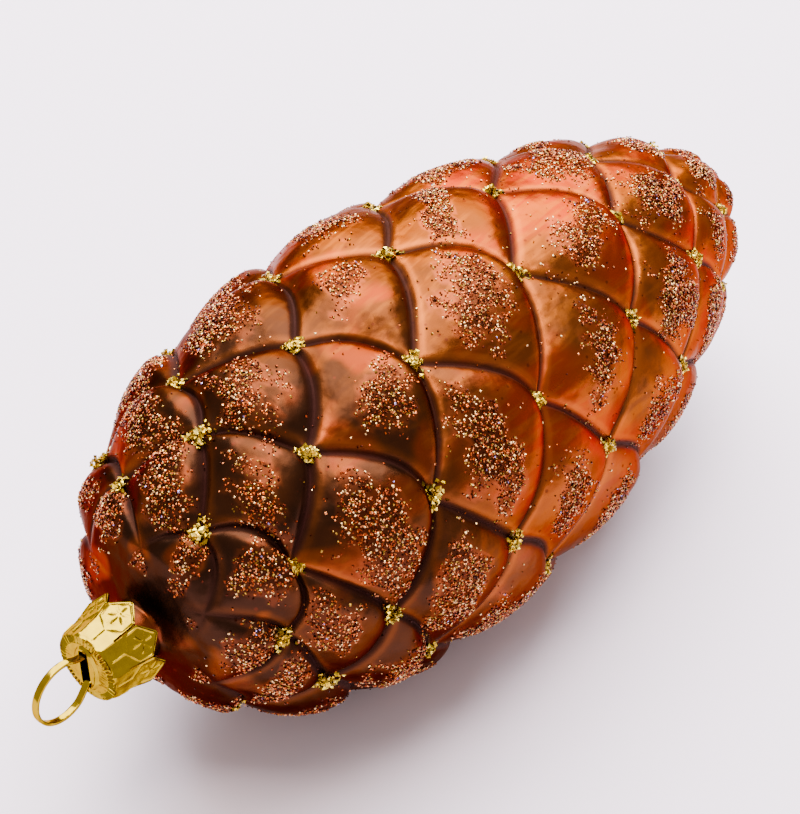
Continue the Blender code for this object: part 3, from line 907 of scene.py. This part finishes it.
def gilt_tinplate(name, roughness):
    """Stamped tinplate with a thin brassy gilding: pale gold and mirror-like, with faint rolling marks."""
    material, tree, shader = new_material(name)
    place = add_node(tree, "ShaderNodeTexCoord", {}).outputs["Object"]
    cloud = add_node(tree, "ShaderNodeTexNoise", {"Vector": place, "Scale": 1 / (1.4 * MM), "Detail": 3.0})
    fine = add_node(tree, "ShaderNodeTexNoise", {"Vector": place, "Scale": 1 / (0.25 * MM), "Detail": 2.0})
    colour, shade = (linear(value) for value in GILT_COLOURS)
    tint = add_node(tree, "ShaderNodeMix", {0: cloud.outputs["Fac"], 6: colour, 7: shade}, data_type="RGBA")
    rough = add_node(
        tree,
        "ShaderNodeMapRange",
        {"Value": cloud.outputs["Fac"], "To Min": roughness, "To Max": roughness + 0.12},
    )
    dent = add_node(tree, "ShaderNodeTexNoise", {"Vector": place, "Scale": 1 / (2.2 * MM), "Detail": 1.0})
    waved = add_node(tree, "ShaderNodeBump", {"Height": dent.outputs["Fac"], "Distance": 0.35 * MM})
    marks = {"Height": fine.outputs["Fac"], "Distance": 0.01 * MM, "Strength": 0.35}
    bump = add_node(tree, "ShaderNodeBump", {**marks, "Normal": waved.outputs[0]})
    tree.links.new(tint.outputs[2], shader.inputs["Base Color"])
    tree.links.new(rough.outputs[0], shader.inputs["Roughness"])
    tree.links.new(bump.outputs[0], shader.inputs["Normal"])
    shader.inputs["Metallic"].default_value = 1.0
    shader.inputs["Specular Tint"].default_value = linear("#C8B060")
    return material


def add_floor():
    """White paper, matt, on a floor far wider than the view."""
    material, tree, shader = new_material("white_paper")
    place = add_node(tree, "ShaderNodeTexCoord", {}).outputs["Object"]
    fibre = add_node(tree, "ShaderNodeTexNoise", {"Vector": place, "Scale": 1 / (1.5 * MM), "Detail": 3.0})
    bump = add_node(
        tree, "ShaderNodeBump", {"Height": fibre.outputs["Fac"], "Distance": 0.02 * MM, "Strength": 0.2}
    )
    tree.links.new(bump.outputs[0], shader.inputs["Normal"])
    shader.inputs["Base Color"].default_value = linear("#F2E4F6")
    shader.inputs["Roughness"].default_value = 0.75
    corners = FLOOR_HALF_SIZE * np.array([[-1, -1, 0], [1, -1, 0], [1, 1, 0], [-1, 1, 0]])
    floor = add_piece("paper_floor", corners, np.array([[0, 1, 2, 3]]), material, None)


def add_light(name, place, size, power, colour):
    """A soft square light that faces the ornament."""
    lamp = bpy.data.lights.new(name, "AREA")
    lamp.size = size
    lamp.energy = power
    lamp.color = linear(colour)[:3]
    light = bpy.data.objects.new(name, lamp)
    light.location = place
    aim = Vector((0, 0, AXIS_HEIGHT)) - light.location
    light.rotation_euler = aim.to_track_quat("-Z", "Y").to_euler()
    bpy.context.scene.collection.objects.link(light)


def add_studio():
    """A large soft window behind to the right, a small lamp above on the camera's side, and a pale room."""
    world = bpy.data.worlds.new("studio")
    bpy.context.scene.world = world
    world.use_nodes = True
    background = world.node_tree.nodes["Background"]
    background.inputs["Color"].default_value = linear(ROOM_COLOUR)
    background.inputs["Strength"].default_value = ROOM_STRENGTH
    for name, place, size, power, colour in LAMPS:
        add_light(name, place, size, power, colour)


def add_camera():
    """The photographer's camera: lens from the focal length in pixels over the image's long side."""
    lens = bpy.data.cameras.new("photo_camera")
    lens.sensor_width = 36
    lens.lens = lens.sensor_width * FOCAL_PIXELS / max(IMAGE_WIDTH, IMAGE_HEIGHT)
    lens.clip_start, lens.clip_end = 0.01, 10
    camera = bpy.data.objects.new("photo_camera", lens)
    camera.location = CAMERA_PLACE
    camera.rotation_euler = Vector(CAMERA_AIM).to_track_quat("-Z", "Y").to_euler()
    bpy.context.scene.collection.objects.link(camera)
    bpy.context.scene.camera = camera


def main():
    """The glass with its glitter and dabs, the cap and the strip, then floor, lights and camera."""
    lacquer = copper_lacquer()
    points, faces, values = glass_shell()
    shell = add_piece("glass_shell", points, faces, lacquer, "copper_lacquered_glass", values)
    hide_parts("glass_body")

    rng, places, normals = glitter()
    copper = foil_grains("copper_foil_glitter", COPPER_MIXTURE, 0.28)
    names = ("glitter_near_cap", "glitter_middle", "glitter_near_tip")
    for name, order in zip(names, np.array_split(np.argsort(places[:, 0]), len(names))):
        points, faces, tone = chips(rng, places[order], normals[order], GRAIN_RADIUS, GRAIN_TILT)
        add_piece(name, points, faces, copper, "copper_lacquered_glass", {"tone": tone}, False)

    gold = foil_grains("gold_foil_glitter", GOLD_MIXTURE, 0.25)
    points, faces, tone = gold_dabs()
    add_piece("gold_dabs", points, faces, gold, "copper_lacquered_glass", {"tone": tone}, False)

    points, faces = stamped_cap()
    crown = add_piece("stamped_cap", points, faces, gilt_tinplate("gilt_tinplate", 0.16), "gilt_cap")
    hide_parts("cap")
    crown.data.set_sharp_from_angle(angle=math.radians(35))

    points, faces = strip_loop()
    loop = add_piece("hanging_loop", points, faces, gilt_tinplate("gilt_strip", 0.12), "gilt_wire")
    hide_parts("hanger")

    add_floor()
    add_studio()
    add_camera()


main()
